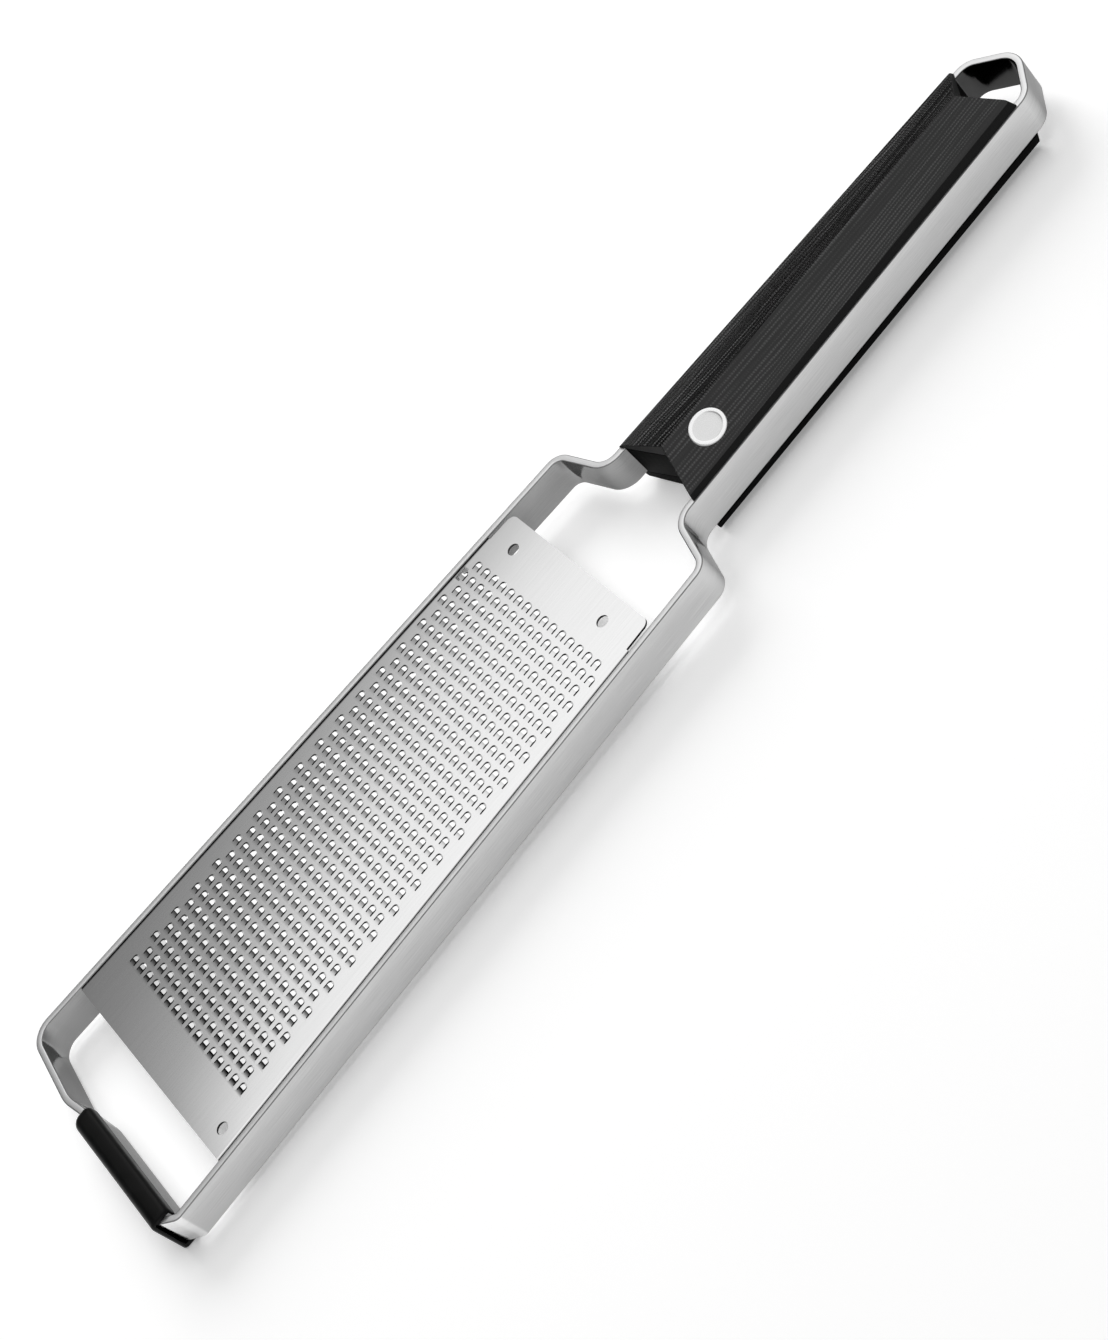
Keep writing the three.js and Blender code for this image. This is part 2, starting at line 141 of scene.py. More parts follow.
def maths(tree, operation, *values):
    """Math node over outputs of other nodes and plain numbers."""
    made = node(tree, "ShaderNodeMath", operation=operation)
    for socket, value in zip(made.inputs, values):
        if isinstance(value, bpy.types.NodeSocket):
            tree.links.new(value, socket)
        else:
            socket.default_value = value
    return made.outputs["Value"]


def new_material(name):
    material = bpy.data.materials.new(name)
    material.use_nodes = True
    return material, material.node_tree, material.node_tree.nodes["Principled BSDF"]


def attribute(tree, name):
    """Number that the mesh carries under a name."""
    return node(tree, "ShaderNodeAttribute", attribute_name=name).outputs["Fac"]


def object_place(tree):
    return node(tree, "ShaderNodeTexCoord").outputs["Object"]


def ramp(tree, stops, source):
    """Colour ramp through (position, grey) stops."""
    made = node(tree, "ShaderNodeValToRGB", Fac=source)
    elements = made.color_ramp.elements
    while len(elements) < len(stops):
        elements.new(0.5)
    for element, (position, grey) in zip(elements, stops):
        element.position = position
        element.color = (grey, grey, grey, 1)
    return made.outputs["Color"]


def graded(tree, value, start, end, before, after):
    """Level that changes evenly while a value goes from start to end."""
    made = node(
        tree, "ShaderNodeMapRange",
        Value=value, From_Min=start, From_Max=end, To_Min=before, To_Max=after)
    return made.outputs["Result"]


def along_axis(tree, place, axis):
    """Dot product of a place with an axis."""
    made = node(tree, "ShaderNodeVectorMath", operation="DOT_PRODUCT")
    tree.links.new(place, made.inputs[0])
    made.inputs[1].default_value = axis
    return made.outputs["Value"]


def mixed(tree, blend, factor, first, second):
    made = node(
        tree, "ShaderNodeMix", data_type="RGBA", blend_type=blend, Factor=factor, A=first, B=second)
    return made.outputs["Result"]


def textured(tree, kind, place, scale, **settings):
    """Texture with its own scale along X, Y and Z."""
    mapping = node(tree, "ShaderNodeMapping", Vector=place, Scale=scale)
    made = node(tree, kind, Vector=mapping.outputs["Vector"], Scale=1.0, **settings)
    return made.outputs["Fac"]


def relief(tree, height, strength, depth):
    """Fine bump on the surface, far below what the mesh shows."""
    return node(tree, "ShaderNodeBump", Height=height, Strength=strength, Distance=depth).outputs["Normal"]


def side_half(x):
    """Half the frame's width over its tapered sides."""
    return between(x, 0, side_length, tip_half, shoulder_half)


def rail_half(x):
    """Half the width over the handle's rails."""
    return between(x, neck_x, loop_x, neck_half, loop_half)


bevel_y = half_strip + right_bevel - side_half(right_corner_x)
left_rail = [
    (side_length, side_half(side_length) - half_strip, shoulder_bend),
    (neck_x, rail_half(neck_x) - half_strip, neck_bend),
    (loop_x, rail_half(loop_x) - half_strip, loop_bend),
]
right_rail = [(x, -y, bend) for x, y, bend in reversed(left_rail)]
strip_corners = [
    (inner_lap_x, bevel_y + inner_lap_short, 0),
    (inner_lap_x, joggle_start, joggle_bend),
    (half_strip, joggle_end, joggle_bend),
    (left_corner_x, side_half(left_corner_x) - half_strip, left_corner_bend),
    *left_rail,
    (apex_x, 0, apex_bend),
    *right_rail,
    (right_corner_x, half_strip - side_half(right_corner_x), right_corner_bend),
    (half_strip, bevel_y, right_corner_bend),
    (half_strip, outer_lap_end, 0),
]
strip_line = bpy.data.meshes.new("strip_line")
strip_line.from_pydata(
    [(x, y, strip_height / 2) for x, y, bend in strip_corners],
    [(i, i + 1) for i in range(len(strip_corners) - 1)],
    [],
)
bend_radius = strip_line.attributes.new("bend_radius", "FLOAT", "POINT")
bend_radius.data.foreach_set("value", [bend for x, y, bend in strip_corners])


def brushed_steel():
    """Grinding lines and clouded reflections; painted shade darkens the inner side and the bent loop.

    The upper and lower edges are coarse and carry a painted highlight beside painted shade on their
    arrises, and the bend at the tip's right corner carries a painted highlight.
    right corner is burnished.
    """
    material, tree, shader = new_material("brushed_strip_steel")
    line_place = node(tree, "ShaderNodeCombineXYZ", X=attribute(tree, "along"), Y=attribute(tree, "across"))
    on_strip = line_place.outputs["Vector"]
    lines = textured(tree, "ShaderNodeTexNoise", on_strip, (90, 5200, 1), Detail=3.0, Roughness=0.6)
    clouds = textured(tree, "ShaderNodeTexNoise", on_strip, (28, 220, 1), Detail=2.0)
    inward = attribute(tree, "inward")
    # Painted shade: this mask darkens the strip's inner side.
    inner_side = ramp(tree, [(0.42, 0.0), (0.58, 1.0)], inward)
    edge = ramp(tree, [(0.0, 0.0), (0.02, 1.0), (0.84, 1.0), (0.98, 0.0)], inward)
    # Painted highlight on the upper and lower edges, with painted shade on the arris beside them.
    edge_highlight_and_arris_shade = ramp(tree, [(0.07, 0.40), (0.19, 1.38)], inward)
    edge_gloss = 0.45
    place = object_place(tree)
    place_x = node(tree, "ShaderNodeSeparateXYZ", Vector=place).outputs["X"]
    loop_at = tip_x + loop_x
    # Painted shade on the loop: the outer side a little darker, and more so on the loop; the inner side
    # much darker, nearly black on the loop.
    outer_shade = graded(tree, place_x, loop_at - 2 * mm, loop_at + 1 * mm, 0.95, 0.65)
    inner_shade = graded(tree, place_x, loop_at - 10 * mm, loop_at - 4 * mm, 0.50, 0.12)
    slant = 0.2
    aslant = along_axis(tree, place, (1, slant, 0))
    corner_at = tip_x + right_corner_x - slant * side_half(right_corner_x)
    # Painted highlight on the bend at the tip's right corner.
    corner_highlight = graded(tree, aslant, corner_at + 0.4 * mm, corner_at + 0.9 * mm, 1.45, 1.0)
    side_shade = mixed(tree, "MIX", inner_side, maths(tree, "MULTIPLY", outer_shade, corner_highlight), inner_shade)
    painted_light = mixed(tree, "MIX", edge, side_shade, edge_highlight_and_arris_shade)
    ground = ramp(tree, [(0.25, 0.59), (0.75, 0.72)], lines)
    side_gloss = ramp(tree, [(0.3, 0.11), (0.7, 0.17)], clouds)
    gloss = node(tree, "ShaderNodeMix", data_type="FLOAT", Factor=edge, A=side_gloss, B=edge_gloss)
    set_up(
        tree, shader,
        Metallic=1,
        Base_Color=mixed(tree, "MULTIPLY", 1.0, ground, painted_light),
        Specular_Tint=(0.5, 0.5, 0.5, 1),
        Roughness=gloss.outputs["Result"],
        Normal=relief(tree, lines, 0.12, 0.04 * mm),
    )
    return material


strip_steel = brushed_steel()


def node_group(name, inputs, output):
    """Geometry Nodes tree with named inputs; gives it, their identifiers and their outputs inside it."""
    tree = bpy.data.node_groups.new(name, "GeometryNodeTree")
    identifiers = {
        label: tree.interface.new_socket(label, in_out="INPUT", socket_type=kind).identifier
        for label, kind in inputs
    }
    tree.interface.new_socket(output, in_out="OUTPUT", socket_type="NodeSocketGeometry")
    return tree, identifiers, node(tree, "NodeGroupInput").outputs


def bent_strip_tree():
    """Rounds the corners of a line to their bend radii and sweeps the strip's section along it."""
    tree, identifiers, given = node_group("bent_strip", (
        ("Line", "NodeSocketGeometry"),
        ("Strip height", "NodeSocketFloat"),
        ("Strip thickness", "NodeSocketFloat"),
        ("Edge radius", "NodeSocketFloat"),
        ("Steps in a bend", "NodeSocketInt"),
        ("Steel", "NodeSocketMaterial"),
    ), "Strip")
    line = node(tree, "GeometryNodeMeshToCurve", Mesh=given["Line"])
    radius = node(tree, "GeometryNodeInputNamedAttribute", data_type="FLOAT", Name="bend_radius")
    bends = node(
        tree, "GeometryNodeFilletCurve", mode="POLY",
        Curve=line.outputs["Curve"], Count=given["Steps in a bend"],
        Radius=radius.outputs["Attribute"], Limit_Radius=True)
    level = node(tree, "GeometryNodeSetCurveNormal", mode="Z_UP", Curve=bends.outputs["Curve"])
    section = node(
        tree, "GeometryNodeCurvePrimitiveQuadrilateral",
        Width=given["Strip thickness"], Height=given["Strip height"])
    edges = node(
        tree, "GeometryNodeFilletCurve", mode="POLY",
        Curve=section.outputs["Curve"], Count=edge_steps, Radius=given["Edge radius"])
    length = node(tree, "GeometryNodeSplineParameter").outputs["Length"]
    position = node(tree, "GeometryNodeInputPosition").outputs["Position"]
    offset = node(tree, "ShaderNodeSeparateXYZ", Vector=position).outputs["X"]
    share = maths(tree, "ADD", maths(tree, "DIVIDE", offset, given["Strip thickness"]), 0.5)

    def noted(curve, name, value):
        stored = node(
            tree, "GeometryNodeStoreNamedAttribute", data_type="FLOAT", domain="POINT",
            Geometry=curve, Name=name, Value=value)
        return stored.outputs["Geometry"]

    path_noted = noted(level.outputs["Curve"], "along", length)
    section_noted = noted(noted(edges.outputs["Curve"], "across", length), "inward", share)
    sweep = node(
        tree, "GeometryNodeCurveToMesh", Curve=path_noted, Profile_Curve=section_noted, Fill_Caps=True)
    solid = node(tree, "GeometryNodeRealizeInstances", Geometry=sweep.outputs["Mesh"])
    steel = node(
        tree, "GeometryNodeSetMaterial", Geometry=solid.outputs["Geometry"], Material=given["Steel"])
    node(tree, "NodeGroupOutput", Strip=steel.outputs["Geometry"])
    return tree, identifiers


strip_tree, strip_inputs = bent_strip_tree()
strip_mesh = evaluated_mesh(strip_line, "NODES", {
    "node_group": strip_tree,
    strip_inputs["Strip height"]: strip_height,
    strip_inputs["Strip thickness"]: strip_thickness,
    strip_inputs["Edge radius"]: strip_edge,
    strip_inputs["Steps in a bend"]: bend_steps,
    strip_inputs["Steel"]: strip_steel,
})
touching = 1e-6


def finished(work, name):
    """Turns a working mesh into a plain one."""
    mesh = bpy.data.meshes.new(name)
    work.to_mesh(mesh)
    work.free()
    return mesh


def point_outwards(mesh):
    """Merges doubles and turns every face of a closed mesh outwards."""
    work = bmesh.new()
    work.from_mesh(mesh)
    bmesh.ops.remove_doubles(work, verts=work.verts, dist=touching)
    bmesh.ops.recalc_face_normals(work, faces=work.faces)
    work.to_mesh(mesh)
    work.free()


point_outwards(strip_mesh)
show("bent_frame_strip", strip_mesh, strip_steel, "frame_strip", sharp_angle=35)

# Grating plate: thin stainless sheet, etched and pressed, its bent-down sides welded to the strip.
# Each tooth is a tongue in an arched slot: it hangs on its tip side, rises to a low fold and dips again
# under the slot's round edge, which cuts.
sheet_thickness = 0.6 * mm
sheet_top = strip_height - 0.2 * mm
sheet_start = 19.7 * mm
sheet_end = side_length - 17.1 * mm
sheet_gap = 0.4 * mm
sheet_corner = 2 * mm
free_edge_x = sheet_end - 7.9 * mm
free_edge_inset = 0.7 * mm
flange_bend = 0.34 * mm
flange_depth = 7 * mm
corner_steps = 20
tooth_pitch = 3.68 * mm
tooth_rows = 34
tooth_columns = 16
first_row_x = sheet_start + 14.4 * mm
field_shift = 0.5 * mm
slot_half = 1.2 * mm
slot_corner = 0.88 * mm
slot_width = 0.40 * mm
slot_end = 1.25 * mm
arch_steps = 4
tongue_half = slot_half - slot_width
tongue_root_x = -1.2 * mm
fold_x = -0.1 * mm
fold_rise = 0.085 * mm
nose_dip = 0.14 * mm
round_hole = 1.6 * mm
hole_sides = 80
handle_holes_x = sheet_end - 6.4 * mm
left_hole_y = 20.7 * mm
right_hole_y = -17.7 * mm
tip_hole_x = sheet_start + 5.3 * mm
tip_hole_inset = 5.1 * mm
cell_weld = 2e-6
sheet_weld = 3e-6
cut_tilt = 0.45


def sheet_half(x):
    """Half the sheet's width between the strip's sides."""
    return side_half(x) - strip_thickness - sheet_gap


def arc(centre, radius, start, end, steps):
    """Points of an arc from one angle to another, in degrees."""
    points = []
    for i in range(steps + 1):
        angle = math.radians(between(i, 0, steps, start, end))
        points.append((centre[0] + radius * math.cos(angle), centre[1] + radius * math.sin(angle)))
    return points


def circle(centre, radius, side_shade):
    return arc(centre, radius, 0, 360 - 360 / side_shade, side_shade - 1)


def mirrored(points):
    """The same points on the other side of the centre line, in reverse."""
    return [(x, -y) for x, y in reversed(points)]


def arch_points(shrink):
    """Round end of the slot, or of the tongue inside it, from the right side to the left."""
    centre = (slot_end - slot_corner, slot_corner - slot_half)
    right = arc(centre, slot_corner - shrink, -90, 0, arch_steps)
    return right + mirrored(right)


def closed_ring(work, points):
    """Loop of edges through flat points; gives its corners and its edges."""
    corners = [work.verts.new((x, y, 0)) for x, y in points]
    edges = [work.edges.new(pair) for pair in zip(corners, corners[1:] + corners[:1])]
    return corners, edges


def face_up(work):
    for face in work.faces:
        if face.normal.z < 0:
            face.normal_flip()


def tooth_cell():
    """One pitch square of sheet with its arched slot and the folded tongue inside it."""
    work = bmesh.new()
    half = tooth_pitch / 2
    closed_ring(work, [(-half, -half), (half, -half), (half, 0), (half, half), (-half, half), (-half, 0)])
    slot = [(tongue_root_x, -slot_half)] + arch_points(0)
    slot += [(tongue_root_x, y) for y in (slot_half, tongue_half, -tongue_half)]
    corners, edges = closed_ring(work, slot)
    bmesh.ops.triangle_fill(work, edges=work.edges[:], use_beauty=True)
    root = [corners[-1], corners[-2]]
    fold = [work.verts.new((fold_x, y, fold_rise)) for y in (-tongue_half, tongue_half)]
    nose = [
        work.verts.new((x, y, between(x, fold_x, slot_end - slot_width, fold_rise, -nose_dip)))
        for x, y in arch_points(slot_width)
    ]
    work.faces.new((root[0], fold[0], fold[1], root[1]))
    work.faces.new([fold[0]] + nose + [fold[1]])
    bmesh.ops.recalc_face_normals(work, faces=work.faces)
    face_up(work)
    return placed("tooth_cell", finished(work, "tooth_cell"))


def satin_sheet():
    """Smooth cold-rolled sheet with a trace of rolling lines; its etched cut edges are matt and darkened
    with painted shade.
    """
    material, tree, shader = new_material("satin_sheet_steel")
    place = object_place(tree)
    clouds = textured(tree, "ShaderNodeTexNoise", place, (60, 60, 60), Detail=3.0)
    rolled = textured(tree, "ShaderNodeTexNoise", place, (60, 2600, 60), Detail=2.0)
    etched = attribute(tree, "etched")
    tone = ramp(tree, [(0.3, 0.76), (0.7, 0.79)], rolled)
    # Painted shade: the walls of the cut edges are made nearly black.
    cut_edge_shade = ramp(tree, [(0, 1.0), (1, 0.08)], etched)
    gloss = ramp(tree, [(0.3, 0.045), (0.7, 0.065)], clouds)
    etched_gloss = ramp(tree, [(0, 0.0), (1, 0.4)], etched)
    set_up(
        tree, shader,
        Metallic=1,
        Base_Color=mixed(tree, "MULTIPLY", 1.0, tone, cut_edge_shade),
        Roughness=mixed(tree, "ADD", 1.0, gloss, etched_gloss),
    )
    return material


sheet_steel = satin_sheet()


def tooth_field_tree():
    """Sets the tooth cell out in staggered rows and welds the cells into one sheet."""
    tree, identifiers, given = node_group("tooth_field", (
        ("Tooth cell", "NodeSocketObject"),
        ("Pitch", "NodeSocketFloat"),
        ("Row pairs", "NodeSocketInt"),
        ("Teeth in a wide row", "NodeSocketInt"),
        ("Steel", "NodeSocketMaterial"),
    ), "Field")
    pitch = given["Pitch"]
    row_pitches = maths(tree, "MULTIPLY", maths(tree, "SUBTRACT", given["Row pairs"], 1), 2)
    length = maths(tree, "MULTIPLY", row_pitches, pitch)
    both = node(tree, "GeometryNodeJoinGeometry")
    for missing in (0, 1):
        count = maths(tree, "SUBTRACT", given["Teeth in a wide row"], missing)
        width = maths(tree, "MULTIPLY", maths(tree, "SUBTRACT", count, 1), pitch)
        rows = node(
            tree, "GeometryNodeMeshGrid",
            Size_X=length, Size_Y=width, Vertices_X=given["Row pairs"], Vertices_Y=count)
        offset = node(tree, "ShaderNodeCombineXYZ", X=maths(tree, "MULTIPLY", pitch, missing - 0.5))
        moved = node(
            tree, "GeometryNodeTransform",
            Geometry=rows.outputs["Mesh"], Translation=offset.outputs["Vector"])
        tree.links.new(moved.outputs["Geometry"], both.inputs["Geometry"])
    source = node(tree, "GeometryNodeObjectInfo", Object=given["Tooth cell"])
    copies = node(
        tree, "GeometryNodeInstanceOnPoints",
        Points=both.outputs["Geometry"], Instance=source.outputs["Geometry"])
    solid = node(tree, "GeometryNodeRealizeInstances", Geometry=copies.outputs["Instances"])
    welded = node(
        tree, "GeometryNodeMergeByDistance", Geometry=solid.outputs["Geometry"], Distance=cell_weld)
    steel = node(
        tree, "GeometryNodeSetMaterial", Geometry=welded.outputs["Geometry"], Material=given["Steel"])
    node(tree, "NodeGroupOutput", Field=steel.outputs["Geometry"])
    return tree, identifiers


cell = tooth_cell()
field_tree, field_inputs = tooth_field_tree()
field_mesh = evaluated_mesh(bpy.data.meshes.new("tooth_rows"), "NODES", {
    "node_group": field_tree,
    field_inputs["Tooth cell"]: cell,
    field_inputs["Pitch"]: tooth_pitch,
    field_inputs["Row pairs"]: tooth_rows // 2,
    field_inputs["Teeth in a wide row"]: tooth_columns,
    field_inputs["Steel"]: sheet_steel,
})
bpy.data.objects.remove(cell)
field_centre_x = first_row_x + (tooth_rows - 1) / 2 * tooth_pitch
field_mesh.transform(Matrix.Translation((field_centre_x, field_shift, 0)))


def field_outline():
    """Stepped outline of the tooth field: wide and narrow rows alternate."""
    step = tooth_pitch / 2
    corners = []
    for row in range(tooth_rows):
        reach = (tooth_columns - row % 2) * step
        x = first_row_x + row * tooth_pitch
        corners += [(x - step, reach), (x + step, reach)]
    last = tooth_columns - (tooth_rows - 1) % 2
    far_edge = [(corners[-1][0], y * step) for y in range(last - 1, -last, -1)]
    near_edge = [(corners[0][0], y * step) for y in range(1 - tooth_columns, tooth_columns)]
    return [(x, y + field_shift) for x, y in corners + far_edge + mirrored(corners) + near_edge]


def sheet_outline():
    """Outline of the flat sheet, inside its side bends, from the tip's right corner round."""
    free = sheet_half(sheet_end) - free_edge_inset
    right = [(x, sheet_thickness - sheet_half(x)) for x in (sheet_start, free_edge_x)]
    right.append((free_edge_x, free_edge_inset - sheet_half(free_edge_x)))
    right += arc((sheet_end - sheet_corner, sheet_corner - free), sheet_corner, -90, 0, corner_steps)
    return right + mirrored(right)


def flat_border(work):
    """Fills the sheet between its outline, the tooth field and the three round holes."""
    hole_centres = (
        (handle_holes_x, left_hole_y),
        (handle_holes_x, right_hole_y),
        (tip_hole_x, tip_hole_inset - sheet_half(tip_hole_x)),
    )
    outlines = [sheet_outline(), field_outline()]
    outlines += [circle(centre, round_hole, hole_sides) for centre in hole_centres]
    all_edges = []
    for outline in outlines:
        clean = [p for i, p in enumerate(outline) if math.dist(p, outline[i - 1]) > touching]
        corners, edges = closed_ring(work, clean)
        all_edges += edges
    bmesh.ops.triangle_fill(work, edges=all_edges, use_beauty=True)


sheet_work = bmesh.new()
flat_border(sheet_work)
sheet_work.from_mesh(field_mesh)
bmesh.ops.remove_doubles(sheet_work, verts=sheet_work.verts, dist=sheet_weld)
face_up(sheet_work)
sheet_mesh = finished(sheet_work, "flat_sheet")
sheet_mesh = evaluated_mesh(sheet_mesh, "SOLIDIFY", {"thickness": sheet_thickness, "offset": -1})
# Cut edges get a matt finish and painted shade.
cut_edges = sheet_mesh.attributes.new("etched", "FLOAT", "FACE")
cut_edges.data.foreach_set("value", [
    float(abs(face.normal.z) < cut_tilt) for face in sheet_mesh.polygons
])


def side_flange(work, side):
    """Bent-down side of the sheet along the strip, open where it runs on into the flat sheet."""
    section = [(sheet_thickness, 0)]
    section += arc((flange_bend, -flange_bend), flange_bend, 90, 180, corner_steps)
    section += [
        (0, -flange_depth),
        (sheet_thickness, -flange_depth),
        (sheet_thickness, -sheet_thickness),
    ]
    near, far = (
        [work.verts.new((x, side * (sheet_half(x) - inward), z)) for inward, z in section]
        for x in (sheet_start, free_edge_x)
    )
    for i in range(len(section) - 1):
        work.faces.new((near[i], near[i + 1], far[i + 1], far[i]))
    work.faces.new(near)
    work.faces.new(far)


def meets_flange(face, side):
    """True for the flat sheet's own edge face where a flange takes over."""
    return all(
        abs(side * v.co.y - sheet_half(v.co.x) + sheet_thickness) < touching for v in face.verts)


plate_work = bmesh.new()
plate_work.from_mesh(sheet_mesh)
for side in (-1, 1):
    joint = [face for face in plate_work.faces if meets_flange(face, side)]
    bmesh.ops.delete(plate_work, geom=joint, context="FACES_ONLY")
    side_flange(plate_work, side)
plate_mesh = finished(plate_work, "toothed_plate")
point_outwards(plate_mesh)
plate_mesh.transform(Matrix.Translation((0, 0, sheet_top)))
show("toothed_plate", plate_mesh, sheet_steel, "grating_plate", sharp_angle=5)

# Rubber foot: a moulded black sleeve pushed over both laps of the strip at the tip.
# It has a rounded crown, a closed round end over the joggle, and is open towards the plate below a
# short lip that hooks over the inner lap.
fit = 0.2 * mm
rubber_wall = 1.2 * mm
rubber_top = 1.3 * mm
rubber_bottom = 1.5 * mm
lip_thickness = 0.6 * mm
lip_depth = 1.6 * mm
crown_radius = 2.4 * mm
brow_radius = 1.4 * mm
sole_edge = 0.6 * mm
sole_reach = 2.9 * mm
lap_depth = 2 * strip_thickness + lap_gap
foot_left = joggle_start + 2.2 * mm
foot_right = bevel_y - 1.0 * mm
round_end = 2 * mm
cut_round = 1.1 * mm
plug_x = 1.25 * mm
plug_y = foot_left - round_end
plug_step = 0.2 * mm

# At its rounded ends the sleeve's outer side draws in the most, and its other sides by these shares.
end_share = 0.9
lip_share = 0.3
top_share = 0.45
sole_share = 0.4
crown_share = 0.5


def rest_z(x):
    """Height of the table under the level strip."""
    return -fit - rubber_bottom - rest_slope * x


def soft_rubber():
    """Near-black rubber with a soft sheen and a faint moulded grain."""
    material, tree, shader = new_material("soft_rubber")
    place = object_place(tree)
    grain = textured(tree, "ShaderNodeTexNoise", place, (2600, 2600, 2600), Detail=2.0)
    patches = textured(tree, "ShaderNodeTexNoise", place, (180, 180, 180), Detail=2.0)
    set_up(
        tree, shader,
        Base_Color=ramp(tree, [(0.3, 0.003), (0.7, 0.005)], patches),
        Roughness=ramp(tree, [(0.3, 0.34), (0.7, 0.44)], patches),
        Specular_IOR_Level=0.12,
        Normal=relief(tree, grain, 0.2, 0.03 * mm),
    )
    return material


def foot_section(shrink, cavity_x):
    """Section of the sleeve: its outside drawn in by some amount, its cavity open from cavity_x inwards."""
    outer = -fit - rubber_wall + shrink
    inner = lap_depth + fit + lip_thickness - lip_share * shrink
    top = strip_height + fit + rubber_top - top_share * shrink
    sole = rest_z(outer) + sole_share * shrink
    crown = crown_radius - crown_share * shrink
    ceiling = strip_height + fit
    points = arc((outer + sole_edge, sole + sole_edge), sole_edge, 180, 270, 4)
    points += [
        (sole_reach, rest_z(sole_reach) + sole_share * shrink),
        (sole_reach, -fit),
        (cavity_x, -fit),
        (cavity_x, ceiling),
        (lap_depth + fit, ceiling),
        (lap_depth + fit, strip_height - lip_depth),
        (inner, strip_height - lip_depth),
    ]
    points += arc((inner - brow_radius, top - brow_radius), brow_radius, 0, 90, 6)
    points += arc((outer + crown, top - crown), crown, 90, 180, 8)
    return points


def bridge(work, low, high):
    """Quads between two closed rings."""
    count = len(low)
    for i in range(count):
        j = (i + 1) % count
        work.faces.new((low[i], low[j], high[j], high[i]))


def foot_mesh():
    """Sweeps the section along the tip, fills the cavity past the outer lap and rounds the left end."""
    rounding = arc((0, 0), 1, 0, 90, 6)
    stations = [
        (foot_right + cut_round * (1 - along), cut_round * end_share * (1 - across), -fit)
        for across, along in reversed(rounding)
    ]
    stations.append((plug_y - plug_step, 0, -fit))
    stations += [
        (plug_y + round_end * along, round_end * end_share * (1 - across), plug_x)
        for across, along in rounding
    ]
    work = bmesh.new()
    rings = [
        [work.verts.new((x, y, z)) for x, z in foot_section(shrink, cavity_x)]
        for y, shrink, cavity_x in stations
    ]
    for low, high in zip(rings, rings[1:]):
        bridge(work, low, high)
    work.faces.new(rings[0])
    work.faces.new(rings[-1])
    bmesh.ops.recalc_face_normals(work, faces=work.faces)
    return finished(work, "foot")


show("rubber_foot_sleeve", foot_mesh(), soft_rubber(), "rubber_foot", sharp_angle=40)

# Handle: black fibre laminate in three layers, a core between the rails and a scale on each face.
# The scales are ground to facets, and all three layers end in the same V notch at both ends.
scale_start = neck_x + 5.5 * mm
scale_end = loop_x - 3.0 * mm
handle_ends = (scale_start, scale_end)
notches = (5.3 * mm, -7.0 * mm)
upper_edge = (1.15 * mm, 1.95 * mm)
upper_ridge = (4.4 * mm, 6.0 * mm)
upper_inset = 1.2 * mm
lower_edge = (2.2 * mm, 2.9 * mm)
lower_land = (4.9 * mm, 3.9 * mm)
lower_inset = 0.7 * mm
point_round = 1.0 * mm
scale_round = 0.15 * mm
core_round = 0.1 * mm
rounded_from = 14
layer_climb = 0.021
side_tilt = 0.45
end_tilt = 0.4


def sanded_and_shaded(face):
    """1 for a sanded side, nearly 1 for a notched end and 0 for a satin facet; sides and ends also get
    painted shade.
    """
    if abs(face.normal.y) > side_tilt:
        return 1.0
    return 0.9 if abs(face.normal.x) > end_tilt else 0.0


def handle_mesh(name, sections, edge_round):
    """Loft between the half sections at both V-notched ends, each from the middle round to the middle."""
    work = bmesh.new()
    rings = []
    for corner, notch, section in zip(handle_ends, notches, sections):
        ring = []
        both = section + [(-half, z) for half, z in reversed(section[1:-1])]
        for half, z in both:
            x = corner + notch * (1 - abs(half) / rail_half(corner))
            ring.append(work.verts.new((x, half, z(x) if callable(z) else z)))
        rings.append(ring)
    near, far = rings
    bridge(work, near, far)
    middle = len(sections[0]) - 1
    for ring in rings:
        work.faces.new(ring[:middle + 1])
        work.faces.new(ring[middle:] + ring[:1])
    bmesh.ops.recalc_face_normals(work, faces=work.faces)
    points = [work.edges.get((far[i], far[j])) for i, j in ((1, 2), (-1, -2))]
    bmesh.ops.bevel(
        work, geom=points, affect="EDGES", offset=point_round, segments=10, profile=0.5, clamp_overlap=True)
    mesh = evaluated_mesh(finished(work, name), "BEVEL", {
        "width": edge_round,
        "segments": 3,
        "limit_method": "ANGLE",
        "angle_limit": math.radians(rounded_from),
        "use_clamp_overlap": True,
    })
    point_outwards(mesh)
    # Sides and ends are marked for a sanded finish and for painted shade.
    ground = mesh.attributes.new("ground", "FLOAT", "FACE")
    ground.data.foreach_set("value", [sanded_and_shaded(face) for face in mesh.polygons])
    return mesh


